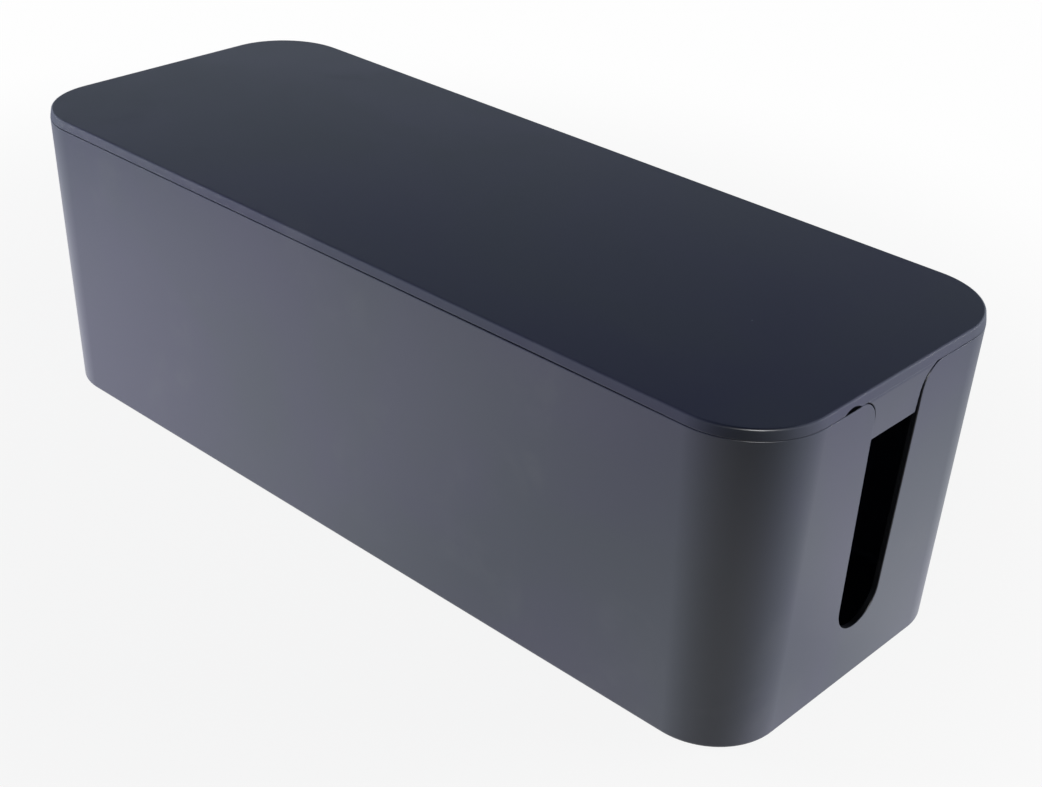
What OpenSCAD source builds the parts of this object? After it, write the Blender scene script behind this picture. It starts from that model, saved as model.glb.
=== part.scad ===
// Cable management box: an open tub with a cable slot in each end, a lift-off lid
// whose end tabs close the tops of the slots, and four stick-on rubber feet.
// Millimetres, +Z up. The origin is on the ground under the middle of the box,
// +X runs along its length and +Y across its width.

/* [Overall size] */
// Length of the box at the rim of the tub
box_length = 407; // [320:1:500]
// Width of the box at the rim of the tub
box_width = 156; // [120:1:200]
// Height of the tub, from its underside to its rim
tub_height = 129; // [95:0.5:160]
// Radius of the upright corners at the rim
corner_r = 33; // [24:1:40]
// Lean of every wall away from upright, in degrees, narrowing downwards
draft = 2.2; // [0.5:0.1:3]

/* [Tub walls] */
// Thickness of the tub's walls
wall = 2.5; // [1.8:0.1:4]
// Thickness of the tub's floor
floor_t = 2.6; // [2:0.1:4]
// Rounding of the outer edge round the underside
sole_r = 1.6; // [0.8:0.1:3]
// Rounding inside, where the walls meet the floor
cove_r = 4; // [1:0.5:8]
// Bevel along the outer edge of the rim
rim_bevel = 0.4; // [0.2:0.1:0.8]

/* [Cable slots] */
// Width of a slot at the middle of its round bottom
slot_w = 25; // [16:0.5:32]
// Height of the lowest point of a slot above the tub's underside
slot_floor = 25.5; // [15:0.5:45]
// Lean of a slot's sides away from upright, in degrees, widening upwards
slot_lean = 1.7; // [0:0.1:4]
// Radius of the rounded rim corners beside a slot
flare_r = 10; // [4:0.5:14]

/* [Lid] */
// Height of the lid's top above the rim of the tub
lid_rise = 4.2; // [3.5:0.1:7]
// Thickness of the lid's plate
lid_t = 2.5; // [1.8:0.1:3]
// Rounding of the edge round the lid's top
lid_edge_r = 1; // [0.5:0.1:1.8]
// How far the lid's lower edge lies inside the outline of the rim
lid_step = 0.1; // [0.05:0.05:0.6]
// How much further the lid draws in from its lower edge to its top
lid_lean = 0.45; // [0:0.05:1]
// Bevel along the lid's lower outer edge
lid_bevel = 0.3; // [0.1:0.1:0.6]

/* [Lid lip] */
// Thickness of the lip that hangs inside the tub
lip_t = 1.8; // [1.2:0.1:2.5]
// Depth of the lip below the rim
lip_depth = 6; // [3:0.5:12]
// Gap between the lip and the inside of the tub's wall
lip_gap = 0.6; // [0.4:0.1:1.2]
// Lead-in bevel round the lip's lower outer edge
lip_lead = 0.8; // [0.3:0.1:1]

/* [Lid ribs] */
// Number of stiffening ribs across the lid's underside
rib_count = 3; // [1:1:6]
// Thickness of a rib at its root
rib_t = 1.8; // [1.2:0.1:2.5]
// Thickness of a rib at its lower edge
rib_tip_t = 1.2; // [0.8:0.1:1.2]
// Depth of a rib below the lid's plate
rib_depth = 3; // [1.5:0.5:6]

/* [Lid tabs] */
// Depth of the end tabs below the rim
tab_depth = 18; // [14:0.5:30]
// Gap between a tab and the sides of its slot
tab_gap = 0.6; // [0.4:0.1:1]
// How far a tab's lower edge tucks in behind the outside of the end wall
tab_tuck = 0.7; // [0:0.1:1.2]
// Width of the lifting notch beside each tab, along the lid's lower edge
notch_w = 10.5; // [5:0.5:14]
// Height of the lifting notch
notch_h = 1.6; // [0.6:0.1:2]

/* [Feet] */
// Diameter of a rubber foot
foot_d = 16; // [10:0.5:24]
// Height of a foot below the tub's underside
foot_stand = 0.8; // [0.6:0.1:3]
// Rounding of a foot's lower edge
foot_edge_r = 0.5; // [0.2:0.1:1]
// Distance from the rim's outline to a foot's middle, along and across the box
foot_inset = 37; // [30:1:50]
// Depth of the recess that a foot sits in
recess_depth = 1.1; // [0.6:0.1:1.2]
// Gap between a foot and the side of its recess
recess_gap = 0.4; // [0.3:0.1:0.8]
// Thickness of the adhesive disc that holds a foot
tape_t = 0.3; // [0.2:0.1:0.5]
// Distance from the edge of a foot to the edge of its adhesive disc
tape_rim = 0.5; // [0.3:0.1:2]

/* [Hidden] */
$fn = 96;

// How far a cutting shape runs past the surface that it cuts
past = 1;
// How far a round runs into the straight that it meets, so that the two join cleanly
weld = 0.002;

// Heights
sole_z = foot_stand;
rim_z = sole_z + tub_height;
lid_z = rim_z + lid_rise;
plate_z = lid_z - lid_t;
recess_z = sole_z + recess_depth;

// Middles of the upright corners, which the tub and the lid share
corner_x = box_length / 2 - corner_r;
corner_y = box_width / 2 - corner_r;

// Outside of a wall at height z, measured outwards from the corner middles
function wall_face(z) = corner_r - (rim_z - z) * tan(draft);

// Cable slot, in the plane of the end wall. Its drops are heights above the rim, so
// they are below 0.
slot_r = slot_w / 2;
slot_mid_drop = slot_floor + slot_r - tub_height;

// Half the slot's width at a height above the rim, with a gap that narrows it
function slot_side(drop, gap) =
  (slot_r - gap) / cos(slot_lean) + (drop - slot_mid_drop) * tan(slot_lean);

flare_y = slot_side(-flare_r, 0) + flare_r / cos(slot_lean);

// Lid
tab_z = rim_z - tab_depth;
lip_z = rim_z - lip_depth;
lid_face = corner_r - lid_step;
lid_top_face = lid_face - lid_lean;
notch_r = (notch_w * notch_w / 4 + notch_h * notch_h) / (2 * notch_h);
notch_y = flare_y + notch_w / 2;

// Outside of the lip at height z
function lip_face(z) = wall_face(z) - wall - lip_gap;

// Feet
foot_x = box_length / 2 - foot_inset;
foot_y = box_width / 2 - foot_inset;
foot_top_z = recess_z - tape_t;
tape_d = foot_d - 2 * tape_rim;

// Sweeps a section round the plan of the box. The section's x is measured outwards
// from the corner middles, and its y is the height.
module swept_round_plan() {
  for (turn = [0, 180]) rotate([0, 0, turn]) {
    translate([corner_x, corner_y, 0]) rotate_extrude(angle = 90) children();
    translate([-corner_x, corner_y, 0]) rotate([0, 0, 90]) rotate_extrude(angle = 90) children();
    translate([corner_x, 0, 0]) rotate([90, 0, 0])
      linear_extrude(height = 2 * corner_y, center = true) children();
    translate([0, corner_y, 0]) rotate([90, 0, 90])
      linear_extrude(height = 2 * corner_x, center = true) children();
  }
}

// Fills the plan between the corner middles, from height z0 to z1
module middle_plate(z0, z1) {
  translate([-corner_x, -corner_y, z0]) cube([2 * corner_x, 2 * corner_y, z1 - z0]);
}

// Region inside a leaning face that stands on a level floor, with a round of radius r
// between the two. The face lies inset inwards of the outside of the wall.
module leaning_region(inset, z0, z1, r) {
  mid_z = z0 + r;
  mid_u = wall_face(mid_z) - inset - r / cos(draft) + weld;
  polygon([
    [0, z0],
    [mid_u, z0],
    [mid_u, mid_z],
    [mid_u - weld + r * cos(draft), mid_z - r * sin(draft)],
    [wall_face(z1) - inset, z1],
    [0, z1]
  ]);
  translate([mid_u, mid_z]) circle(r);
}

// Wall and floor of the tub
module tub_section() {
  difference() {
    leaning_region(0, sole_z, rim_z, sole_r);
    leaning_region(wall, sole_z + floor_t, rim_z + past, cove_r);
    translate([corner_r, rim_z]) rotate(45) square(rim_bevel * sqrt(2), center = true);
  }
}

// Slot outline as y and height above the rim. A gap above 0 shrinks it all round.
module slot_outline(gap) {
  r = slot_r - gap;
  side_low = r * cos(slot_lean) - weld;
  side_top = slot_side(past, gap) - weld;
  low_drop = slot_mid_drop - r * sin(slot_lean);
  polygon([
    [-side_low, low_drop],
    [side_low, low_drop],
    [side_top, past],
    [-side_top, past]
  ]);
  translate([0, slot_mid_drop]) circle(r);
  flare_outline(gap);
  mirror([1, 0]) flare_outline(gap);
}

// Widening of the slot beside a rounded rim corner
module flare_outline(gap) {
  r = flare_r + gap;
  mid = [flare_y - 2 * weld, weld - flare_r];
  difference() {
    translate([0, mid[1] + r * sin(slot_lean)]) square([mid[0], r + past]);
    translate(mid) circle(r);
  }
}

// Runs an outline given as y and height above the rim through the end wall at +X
module through_end(depth) {
  translate([box_length / 2 + past - depth, 0, rim_z]) rotate([90, 0, 90])
    linear_extrude(height = depth) children();
}

module tub() {
  slot_depth = past + tub_height * tan(draft) + 2 * wall;
  color([0.27, 0.28, 0.33]) difference() {
    union() {
      swept_round_plan() tub_section();
      middle_plate(sole_z, sole_z + floor_t);
    }
    for (turn = [0, 180]) rotate([0, 0, turn]) through_end(slot_depth) slot_outline(0);
    for (sx = [-1, 1], sy = [-1, 1])
      translate([sx * foot_x, sy * foot_y, sole_z - past])
        cylinder(h = recess_depth + past, d = foot_d + 2 * recess_gap);
  }
}

// Plate, outer edge and lip of the lid
module lid_section() {
  round_u = lid_top_face - lid_edge_r;
  round_z = lid_z - lid_edge_r;
  polygon([
    [0, plate_z],
    [lip_face(plate_z) - lip_t, plate_z],
    [lip_face(lip_z) - lip_t, lip_z],
    [lip_face(lip_z) - lip_lead, lip_z],
    [lip_face(lip_z + lip_lead), lip_z + lip_lead],
    [lip_face(rim_z), rim_z],
    [lid_face - lid_bevel, rim_z],
    [lid_face, rim_z + lid_bevel],
    [lid_top_face, round_z],
    [round_u, round_z],
    [round_u, lid_z],
    [0, lid_z]
  ]);
  translate([round_u, round_z]) circle(lid_edge_r);
}

// Section of a tab: flush with the end wall at the rim, where it runs on into the edge
// of the lid, tucked in lower down, and joined to the lip inside
module tab_section() {
  tab_face = wall_face(tab_z) - tab_tuck;
  polygon([
    [tab_face, tab_z],
    [wall_face(rim_z - rim_bevel), rim_z - rim_bevel],
    [lid_face, rim_z + lid_bevel],
    [lid_face - wall / 2, rim_z + lid_rise / 4],
    [lip_face(rim_z) - lip_t / 2, rim_z + lid_rise / 4],
    [lip_face(lip_z) - lip_t / 2, lip_z],
    [lip_face(lip_z), lip_z],
    [wall_face(lip_z) - wall, lip_z - lip_gap],
    [tab_face - wall, tab_z]
  ]);
}

module tab() {
  intersection() {
    translate([corner_x, 0, 0]) rotate([90, 0, 0])
      linear_extrude(height = 2 * (flare_y + past), center = true) tab_section();
    through_end(past + tab_depth * tan(draft) + tab_tuck + 3 * wall) slot_outline(tab_gap);
  }
}

// Stiffening rib across the lid's underside, from lip to lip
module rib() {
  rib_span = 2 * (corner_y + lip_face(plate_z) - lip_t / 2);
  rotate([90, 0, 0]) linear_extrude(height = rib_span, center = true)
    polygon([
      [-rib_tip_t / 2, plate_z - rib_depth],
      [rib_tip_t / 2, plate_z - rib_depth],
      [rib_t / 2, plate_z],
      [rib_t / 2, plate_z + lid_t / 2],
      [-rib_t / 2, plate_z + lid_t / 2],
      [-rib_t / 2, plate_z]
    ]);
}

module lid() {
  rib_pitch = 2 * corner_x / (rib_count + 1);
  color([0.22, 0.23, 0.28]) difference() {
    union() {
      swept_round_plan() lid_section();
      middle_plate(plate_z, lid_z);
      for (turn = [0, 180]) rotate([0, 0, turn]) tab();
      for (i = [1:rib_count]) translate([i * rib_pitch - corner_x, 0, 0]) rib();
    }
    for (turn = [0, 180]) rotate([0, 0, turn])
      translate([box_length / 2 + past, -notch_y, rim_z + notch_h - notch_r]) rotate([0, -90, 0])
        cylinder(h = past + wall + lip_gap, r = notch_r);
  }
}

// Rubber foot with a rounded lower edge, standing on the ground at the origin
module foot() {
  edge_u = foot_d / 2 - foot_edge_r;
  color([0.08, 0.08, 0.09]) rotate_extrude() {
    polygon([
      [0, 0],
      [edge_u, 0],
      [edge_u, foot_edge_r],
      [foot_d / 2, foot_edge_r],
      [foot_d / 2, foot_top_z],
      [0, foot_top_z]
    ]);
    intersection() {
      translate([edge_u, foot_edge_r]) circle(foot_edge_r);
      square(foot_d);
    }
  }
}

// Adhesive disc between a foot and the roof of its recess
module tape() {
  color([0.75, 0.72, 0.62]) translate([0, 0, foot_top_z]) cylinder(h = tape_t, d = tape_d);
}

// Puts a child at one of the four feet. Front is -Y and right is +X.
module at_foot(sx, sy) {
  translate([sx * foot_x, sy * foot_y, 0]) children();
}

tub();
lid();
at_foot(-1, -1) foot();  // foot_front_left
at_foot(1, -1) foot();  // foot_front_right
at_foot(-1, 1) foot();  // foot_rear_left
at_foot(1, 1) foot();  // foot_rear_right
at_foot(-1, -1) tape();  // tape_front_left
at_foot(1, -1) tape();  // tape_front_right
at_foot(-1, 1) tape();  // tape_rear_left
at_foot(1, 1) tape();  // tape_rear_right
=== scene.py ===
"""Cable management box: an open tub with a cable slot in each end, a lift-off lid whose
end tabs close the tops of the slots, and four stick-on rubber feet.

Metres, +Z up. The origin is on the ground under the middle of the box, +X runs along its
length and +Y across its width.
"""

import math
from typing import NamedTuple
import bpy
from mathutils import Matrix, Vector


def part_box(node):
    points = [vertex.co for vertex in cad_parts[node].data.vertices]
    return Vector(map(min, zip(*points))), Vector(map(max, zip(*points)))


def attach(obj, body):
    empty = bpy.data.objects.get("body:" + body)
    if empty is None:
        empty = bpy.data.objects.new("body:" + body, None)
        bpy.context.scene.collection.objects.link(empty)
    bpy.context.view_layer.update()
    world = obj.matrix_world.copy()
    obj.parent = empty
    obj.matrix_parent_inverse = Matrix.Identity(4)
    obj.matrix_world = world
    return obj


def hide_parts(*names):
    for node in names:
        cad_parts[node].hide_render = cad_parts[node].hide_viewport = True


bl_info = {
    "name": "Cable Management Box",
    "version": (1, 0, 0),
    "blender": (4, 5, 0),
    "location": "3D View > Sidebar > Cable Box",
    "description": "Builds a lidded cable box in moulded plastic, and a studio around it",
    "category": "Add Mesh",
}

import bmesh
import bpy
from bpy.props import FloatProperty, FloatVectorProperty, IntProperty, PointerProperty
from mathutils import Matrix, Vector

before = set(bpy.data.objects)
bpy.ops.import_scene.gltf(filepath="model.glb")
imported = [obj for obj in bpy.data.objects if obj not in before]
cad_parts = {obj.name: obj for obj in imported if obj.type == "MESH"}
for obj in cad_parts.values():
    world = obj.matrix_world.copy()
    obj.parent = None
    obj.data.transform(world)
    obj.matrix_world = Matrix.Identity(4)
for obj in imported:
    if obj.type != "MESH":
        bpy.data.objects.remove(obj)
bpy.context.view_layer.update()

MM = 0.001

# Vertex layers that the materials read: rubbed edges, which also give a painted highlight along the
# rounded edges, and places painted dark as shade, in the slots and under the notches
EDGE_WEAR_HIGHLIGHT_LAYER = "edge"
PAINTED_SHADE_LAYER = "painted_shade"

# Steps in a round, by what it belongs to, and in a whole circle
CORNER_STEPS = 28
SLOT_STEPS = 20
FLARE_STEPS = 14
ROUND_STEPS = 8
TAB_EDGE_STEPS = 6
LIP_ROOT_STEPS = 4
CIRCLE_STEPS = 64
NOTCH_STEPS = 96
PAPER_STEPS = 96

# Steps along a long side of the lid, where its edge bows
SIDE_STEPS = 24

# Edges that turn more than this stay crisp, and faces narrower than this round off an edge
CRISP_ANGLE = math.radians(15)
NARROW_FACE = 0.35 * MM

# Vertices of a joined solid that lie nearer than this become one
WELD = 0.002 * MM

# Offset that keeps faces of joined solids out of one plane
OFFSET = 0.01 * MM

# The walls with a slot: the corner that each one follows, and its side along X
SLOTTED = {0: 1, 2: -1}

# Places along the rim under a lifting notch, from its outer end. The rim at all but the first of
# them is painted dark, as shade under the notch
NOTCH_SHARES = (1.0, 0.85, 0.15)

# How far the cutter of a lifting notch reaches outwards
NOTCH_REACH = 10 * MM

# Gap left in the seam where the lid bears on the rim
CLOSED_SEAM = 0.02 * MM

# Bow of the seam along a long side, which runs from -1 to 1: the share of it that is even,
# and the place and the spread of the rest
BOW_EVEN = 0.4
BOW_PLACE = 0.5
BOW_SPREAD = 0.4

# Bevel of the lip's lower inner edge, and the round where the lip meets the plate
LIP_EDGE = 0.3 * MM
LIP_ROOT_R = 0.5 * MM

# How fast a tab draws in above the rim, to dive behind the face of the lid's edge
TAB_DRAW_IN = 0.3

# How far a tab reaches up inside the lid, and the bevel round its back
TAB_TOP = 1.0 * MM
TAB_BACK_BEVEL = 0.3 * MM

# Web behind a tab: how deep it bites into the tab, and how far it keeps from the tab's sides
WEB_BITE = 0.5 * MM
WEB_INSET = 0.2 * MM

# Bevel of a rib's lower edges
RIB_EDGE = 0.25 * MM

# Round at the mouth of a foot's recess, and bevel of a foot's upper edge
RECESS_ROUND = 0.3 * MM
FOOT_BEVEL = 0.15 * MM

# Slope of a foot's dish, in depths of the dish: run of each half, and depth at its knee
DISH_RUN = 2
DISH_KNEE = 0.8


# ---------------------------------------------------------------------------
# Sizes, finishes and studio values that a user may change
# ---------------------------------------------------------------------------


def length(name, description, default, low=0.0):
    """A length property in metres."""
    return FloatProperty(
        name=name, description=description, default=default, min=low, unit="LENGTH", precision=5
    )


def angle(name, description, degrees):
    """An angle property, given here in degrees."""
    return FloatProperty(
        name=name, description=description, default=math.radians(degrees), subtype="ANGLE"
    )


def colour(name, description, default):
    """A colour property, in linear light."""
    return FloatVectorProperty(
        name=name, description=description, default=default, subtype="COLOR", min=0.0, max=1.0
    )


def factor(name, description, default):
    """A share from 0 to 1."""
    return FloatProperty(
        name=name, description=description, default=default, min=0.0, max=1.0, subtype="FACTOR"
    )


def power(name, description, watts):
    """The power property of a lamp."""
    return FloatProperty(name=name, description=description, default=watts, min=0.0, unit="POWER")


class TubSizes(bpy.types.PropertyGroup):
    """Sizes of the tub and its cable slots"""

    corner_r: length("Corner radius", "Radius of the upright corners at the rim", 33 * MM)
    draft: angle("Draft", "Lean of every wall away from upright", 2.2)
    wall: length("Wall", "Thickness of the walls", 2.5 * MM)
    floor_t: length("Floor", "Thickness of the floor", 2.6 * MM)
    sole_r: length("Sole round", "Rounding round the underside", 1.6 * MM)
    cove_r: length("Cove", "Rounding inside, where the walls meet the floor", 4 * MM)
    edge_r: length("Rim round", "Rounding along the rim and the slots", 0.4 * MM)
    slot_w: length("Slot width", "Width of a slot at its round bottom", 25 * MM)
    slot_floor: length("Slot floor", "Height of a slot above the underside", 25.5 * MM)
    slot_lean: angle("Slot lean", "Lean of a slot's sides, widening upwards", 1.7)
    flare_r: length("Flare", "Radius of the rounded rim corners beside a slot", 10 * MM)
    recess_depth: length("Foot recess", "Depth of the recess that a foot sits in", 1.1 * MM)
    recess_gap: length("Recess gap", "Gap between a foot and its recess", 0.4 * MM)


class LidSizes(bpy.types.PropertyGroup):
    """Sizes of the lid, its lip, ribs and tabs"""

    plate: length("Plate", "Thickness of the lid's plate", 2.5 * MM)
    edge_r: length("Top round", "Rounding of the edge round the lid's top", 1.0 * MM)
    step: length("Step", "How far the lower edge lies inside the rim's outline", 0.1 * MM)
    lean: length("Draw-in", "How much further the lid draws in towards its top", 0.45 * MM)
    bevel: length("Lower round", "Rounding of the lid's lower outer edge", 0.3 * MM)
    seam: length("Seam", "Open gap between the lid's edge and the rim", 0.16 * MM)
    seam_depth: length("Seam depth", "How far the open gap reaches inwards", 1.6 * MM)
    bow: length("Bow", "How much further the seam opens along the long sides", 0.32 * MM)
    bearing: length("Bearing", "How near a corner that bears on the rim closes the seam", 30 * MM)
    lip_t: length("Lip", "Thickness of the lip that hangs inside the tub", 1.8 * MM)
    lip_depth: length("Lip depth", "Depth of the lip below the rim", 6 * MM)
    lip_gap: length("Lip gap", "Gap between the lip and the tub's wall", 0.6 * MM)
    lip_lead: length("Lip lead-in", "Bevel round the lip's lower outer edge", 0.8 * MM)
    rib_count: IntProperty(
        name="Ribs", description="Stiffening ribs across the underside", default=3, min=1
    )
    rib_t: length("Rib", "Thickness of a rib at its root", 1.8 * MM)
    rib_tip_t: length("Rib tip", "Thickness of a rib at its lower edge", 1.2 * MM)
    rib_depth: length("Rib depth", "Depth of a rib below the plate", 3 * MM)
    tab_gap: length("Tab gap", "Gap between a tab and its slot", 0.6 * MM)
    tab_play: length("Tab play", "How far a tab lies off the middle of its slot", 0.3 * MM)
    tab_tuck: length("Tab tuck", "How far a tab's lower edge tucks in", 0.7 * MM)
    tab_edge_r: length("Tab round", "Rounding round the outside of a tab", 0.35 * MM)
    tab_corner_r: length("Tab corner", "Radius of a tab's lower corners", 0.4 * MM)
    notch_w: length("Notch width", "Width of the lifting notch", 10.5 * MM)
    notch_h: length("Notch height", "Height of the lifting notch", 1.6 * MM)


class FootSizes(bpy.types.PropertyGroup):
    """Sizes of a rubber foot that its box doesn't give"""

    edge_r: length("Foot round", "Rounding of a foot's lower edge", 0.5 * MM)
    ring_w: length("Ring", "Width of the flat ring that a foot stands on", 2.2 * MM)
    dish: length("Dish", "Depth of the shallow dish inside the ring", 0.25 * MM)


class Finish(bpy.types.PropertyGroup):
    """Colours and surface finish"""

    plastic: colour("Plastic", "Dark blue-grey of the tub and the lid", (0.056, 0.061, 0.088))
    # Paler tone of rubbed edges and smudges, which on rounded edges also serves as a painted
    # highlight
    worn: colour("Worn plastic", "Paler tone of rubbed edges", (0.105, 0.112, 0.130))
    dust: colour("Dust", "Specks of dust and lint", (0.42, 0.44, 0.48))
    rubber: colour("Rubber", "Matt black of the feet", (0.012, 0.012, 0.014))
    adhesive: colour("Adhesive", "Pale foam of the adhesive discs", (0.50, 0.47, 0.38))
    roughness: factor("Roughness", "Roughness of the satin plastic", 0.34)
    grain: length("Grain", "Size of the moulded texture", 0.35 * MM)
    grain_depth: length("Grain depth", "Depth of the moulded texture", 0.004 * MM)
    # How much the edges are rubbed, which also paints a faint highlight along them
    tub_wear_and_highlight: factor("Tub wear", "How much the tub's edges are rubbed", 0.15)
    lid_wear_and_highlight: factor("Lid wear", "How much the lid's edges are rubbed", 0.1)
    foot_wear: factor("Foot wear", "How much the feet's edges are rubbed", 0.5)
    tub_specks: factor("Tub dust", "How much dust lies on the tub", 0.03)
    lid_specks: factor("Lid dust", "How much dust lies on the lid", 0.12)


class Studio(bpy.types.PropertyGroup):
    """Floor, lamps and camera"""

    floor: colour("Floor", "Pale floor and backdrop", (0.40, 0.40, 0.40))
    pool_r: length("Pool", "Radius of the floor that lights the box most", 0.212)
    pool_x: length("Pool place", "Middle of that part of the floor, along the box", -0.085, low=-1.0)
    room: colour("Room", "Dim light of the room overhead", (0.030, 0.0455, 0.101))
    left: power("Left lamp", "Power of the softbox left of the box", 21)
    right: power("Right lamp", "Power of the softbox right of the box", 67)
    warm: colour("Right lamp tint", "Slightly warm light of the right lamp", (1.0, 0.965, 0.92))
    top: power("Top lamp", "Power of the faint lamp overhead", 0.1)
    front: power("Front lamp", "Power of the small lamp near the camera", 5.5)
    lens: FloatProperty(
        name="Lens", description="Focal length on a 36 mm wide sensor", default=60.74, unit="CAMERA"
    )
    azimuth: angle("Azimuth", "Turn of the camera round the box, from +X", -48.11)
    elevation: angle("Elevation", "Height of the camera above level", 29.32)
    roll: angle("Roll", "Turn of the camera about its own line of sight", 2.65)


class CableBox(bpy.types.PropertyGroup):
    """Everything the builder reads"""

    tub: PointerProperty(type=TubSizes)
    lid: PointerProperty(type=LidSizes)
    foot: PointerProperty(type=FootSizes)
    finish: PointerProperty(type=Finish)
    studio: PointerProperty(type=Studio)


# ---------------------------------------------------------------------------
# The box's form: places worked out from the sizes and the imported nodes
# ---------------------------------------------------------------------------


class Form:
    """Heights and faces that the tub and the lid share"""

    def __init__(self, settings):
        self.tub = settings.tub
        self.lid = settings.lid
        tub_low, tub_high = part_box("tub")
        lid_low, lid_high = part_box("lid")
        self.tan_draft = math.tan(self.tub.draft)
        self.sole_z = tub_low.z
        self.rim_z = tub_high.z
        self.lid_z = lid_high.z
        self.tab_drop = lid_low.z - self.rim_z
        edge_lean = self.tub.edge_r * self.tan_draft
        self.corner_x = tub_high.x + edge_lean - self.tub.corner_r
        self.corner_y = tub_high.y + edge_lean - self.tub.corner_r

        self.slot_r = self.tub.slot_w / 2
        self.slot_mid_drop = self.sole_z + self.tub.slot_floor + self.slot_r - self.rim_z
        flare_r = self.tub.flare_r
        self.flare_y = self.slot_side(-flare_r, 0) + flare_r / math.cos(self.tub.slot_lean)

    def wall_face(self, z):
        """Outside of a wall at height z, measured outwards from the corner middles."""
        return self.tub.corner_r - (self.rim_z - z) * self.tan_draft

    def lip_face(self, z):
        """Outside of the lid's lip at height z."""
        return self.wall_face(z) - self.tub.wall - self.lid.lip_gap

    def slot_side(self, drop, gap):
        """Half the slot's width at a height above the rim, with a gap that narrows it."""
        lean = self.tub.slot_lean
        return (self.slot_r - gap) / math.cos(lean) + (drop - self.slot_mid_drop) * math.tan(lean)


class Spot(NamedTuple):
    """A place on the edge of the wall, and the way that the edge faces there"""

    base: Vector  # on the rectangle through the corner middles
    out: Vector  # level, outwards across the wall
    z: float
    across: float  # share of the facing that runs along the wall, counterclockwise
    up: float  # share of the facing that runs upwards


def turns(first, last, steps):
    """Angles from first to last, in equal steps."""
    return [first + (last - first) * step / steps for step in range(steps + 1)]


def corner_spots(form, quarter, z):
    """Spots round one upright corner. Quarter 0 is front right, and they run counterclockwise."""
    start = -math.pi / 2 + quarter * math.pi / 2
    middle = Vector((form.corner_x, form.corner_y))
    if quarter in (0, 3):
        middle.y *= -1
    if quarter in (2, 3):
        middle.x *= -1
    return [
        Spot(middle, Vector((math.cos(turn), math.sin(turn))), z, 0.0, 1.0)
        for turn in turns(start, start + math.pi / 2, CORNER_STEPS)
    ]


def end_spot(form, side, y, drop, across, up):
    """Spot on an end wall. Side is 1 at +X and -1 at -X, and y runs counterclockwise."""
    base = Vector((side * form.corner_x, side * y))
    return Spot(base, Vector((side, 0.0)), form.rim_z + drop, across, up)


def half_slot(form):
    """Edge of the slot as y, height above the rim, and the way the wall's edge faces: from a
    rounded rim corner down to the lowest point."""
    lean = form.tub.slot_lean
    flare_r = form.tub.flare_r
    points = []
    for turn in turns(math.pi / 2, lean, FLARE_STEPS):
        across, up = math.cos(turn), math.sin(turn)
        points.append((flare_r * across - form.flare_y, flare_r * up - flare_r, across, up))
    for turn in turns(math.pi + lean, 1.5 * math.pi, SLOT_STEPS):
        across, up = -math.cos(turn), -math.sin(turn)
        drop = form.slot_mid_drop - form.slot_r * up
        points.append((-form.slot_r * across, drop, across, up))
    return points


def slot_spots(form, side):
    """Spots along the rim under the lifting notch, then down one side of the slot, round its
    bottom and up the other side."""
    notch = [
        (-form.flare_y - form.lid.notch_w * share, 0.0, 0.0, 1.0) for share in NOTCH_SHARES
    ]
    down = half_slot(form)
    up = [(-y, drop, -across, rise) for y, drop, across, rise in reversed(down[:-1])]
    return [end_spot(form, side, *point) for point in notch + down + up]


def edge_point(form, spot, inset, depth):
    """Point of the wall at a spot, inset below its edge and depth in from its outside."""
    along = Vector((-spot.out.y, spot.out.x))
    z = spot.z - spot.up * inset
    plan = spot.base - along * (spot.across * inset) + spot.out * (form.wall_face(z) - depth)
    return Vector((plan.x, plan.y, z))


def ring_point(spot, reach, z):
    """Point at height z, reach outwards from a spot's base."""
    plan = spot.base + spot.out * reach
    return Vector((plan.x, plan.y, z))


# ---------------------------------------------------------------------------
# Mesh building
# ---------------------------------------------------------------------------


def add_ring(bm, points):
    """New vertices at the points, as a list."""
    return [bm.verts.new(point) for point in points]


def loft(bm, rings):
    """Quads from each closed ring to the next. All rings have the same number of vertices."""
    count = len(rings[0])
    for ring_a, ring_b in zip(rings, rings[1:]):
        for i in range(count):
            j = (i + 1) % count
            bm.faces.new((ring_a[i], ring_a[j], ring_b[j], ring_b[i]))


def closed_loft(bm, rings):
    """Rings joined by quads, with a flat face on the first and on the last."""
    loft(bm, rings)
    bm.faces.new(rings[0])
    bm.faces.new(rings[-1])


def fill_between(bm, loops):
    """Fills a flat face with holes, given the loops of its rim and of its holes."""
    edges = []
    for loop in loops:
        for pair in zip(loop, loop[1:] + loop[:1]):
            edges.append(bm.edges.get(pair) or bm.edges.new(pair))
    bmesh.ops.triangle_fill(bm, use_beauty=True, edges=edges)


def quarter_round(radius, steps=ROUND_STEPS):
    """Inset and depth of points round an edge, from the outside face over to the top."""
    over = turns(0.0, math.pi / 2, steps)
    return [(radius * (1 - math.sin(t)), radius * (1 - math.cos(t))) for t in over]


def arc(middle, radius, first, last, steps=ROUND_STEPS):
    """Points of an arc in a section, as reach and height."""
    return [
        (middle[0] + radius * math.cos(turn), middle[1] + radius * math.sin(turn))
        for turn in turns(first, last, steps)
    ]


def revolve(bm, middle, section, steps=CIRCLE_STEPS):
    """Level rings of vertices round a middle, one at each reach and height of a section."""
    rings = []
    for reach, z in section:
        points = [
            Vector((middle.x + reach * math.cos(turn), middle.y + reach * math.sin(turn), z))
            for turn in turns(0.0, math.tau, steps)[:-1]
        ]
        rings.append(add_ring(bm, points))
    return rings


def link_object(name, data):
    """New object in the scene, with the given data."""
    made = bpy.data.objects.new(name, data)
    bpy.context.scene.collection.objects.link(made)
    return made


def to_object(name, bm):
    """New object in the scene, with the mesh of a bmesh, which is freed."""
    mesh = bpy.data.meshes.new(name)
    bm.to_mesh(mesh)
    bm.free()
    return link_object(name, mesh)


def face_width(face):
    """Area of a face over its longest side."""
    return face.calc_area() / max(edge.calc_length() for edge in face.edges)


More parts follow.
